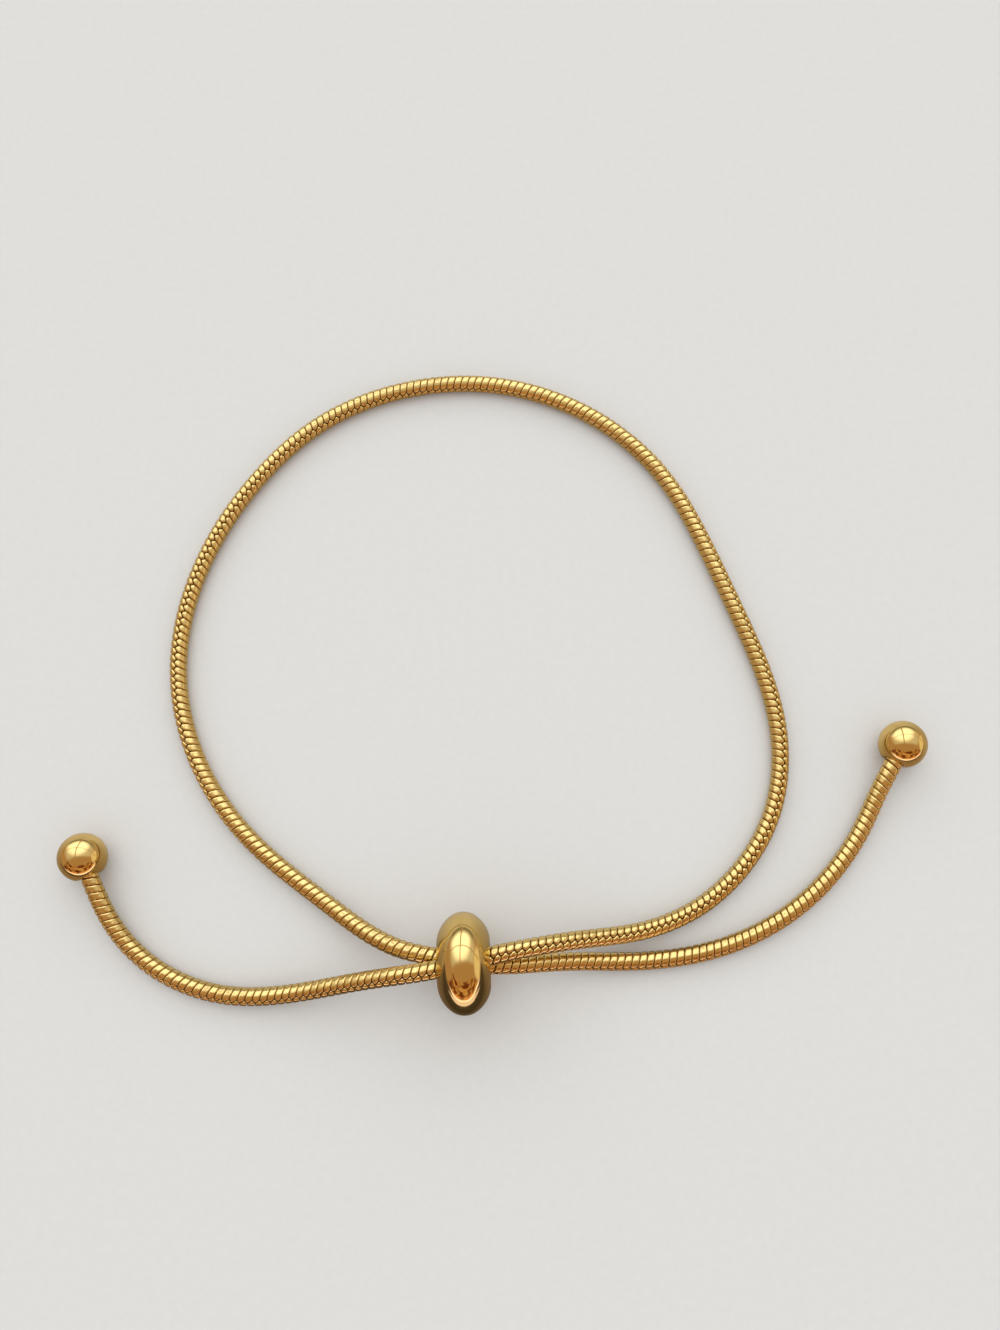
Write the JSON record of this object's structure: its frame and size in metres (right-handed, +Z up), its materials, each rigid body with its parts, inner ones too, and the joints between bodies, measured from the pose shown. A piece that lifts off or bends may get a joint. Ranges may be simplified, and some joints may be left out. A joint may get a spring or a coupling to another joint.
{
  "type": "bolo slider bracelet",
  "caption": "Adjustable wrist loop of round snake chain; both strands cross through one round slider bead and end in polished balls.",
  "frame": {"origin": "middle of the bracelet's outline seen from above, on the surface it lies on", "axes": "+X along the slider bead's bore, +Y from the bead towards the far side of the loop, +Z up from the surface"},
  "size_m": [0.0734, 0.0564, 0.008],
  "materials": {
    "chain_gold": "polished",
    "polished_gold": "mirror polished"
  },
  "bodies": {
    "root": {"snake_chain": "chain_gold", "slider_bead": "polished_gold", "end_ball_left": "polished_gold", "end_ball_right": "polished_gold"}
  },
  "joints": []
}
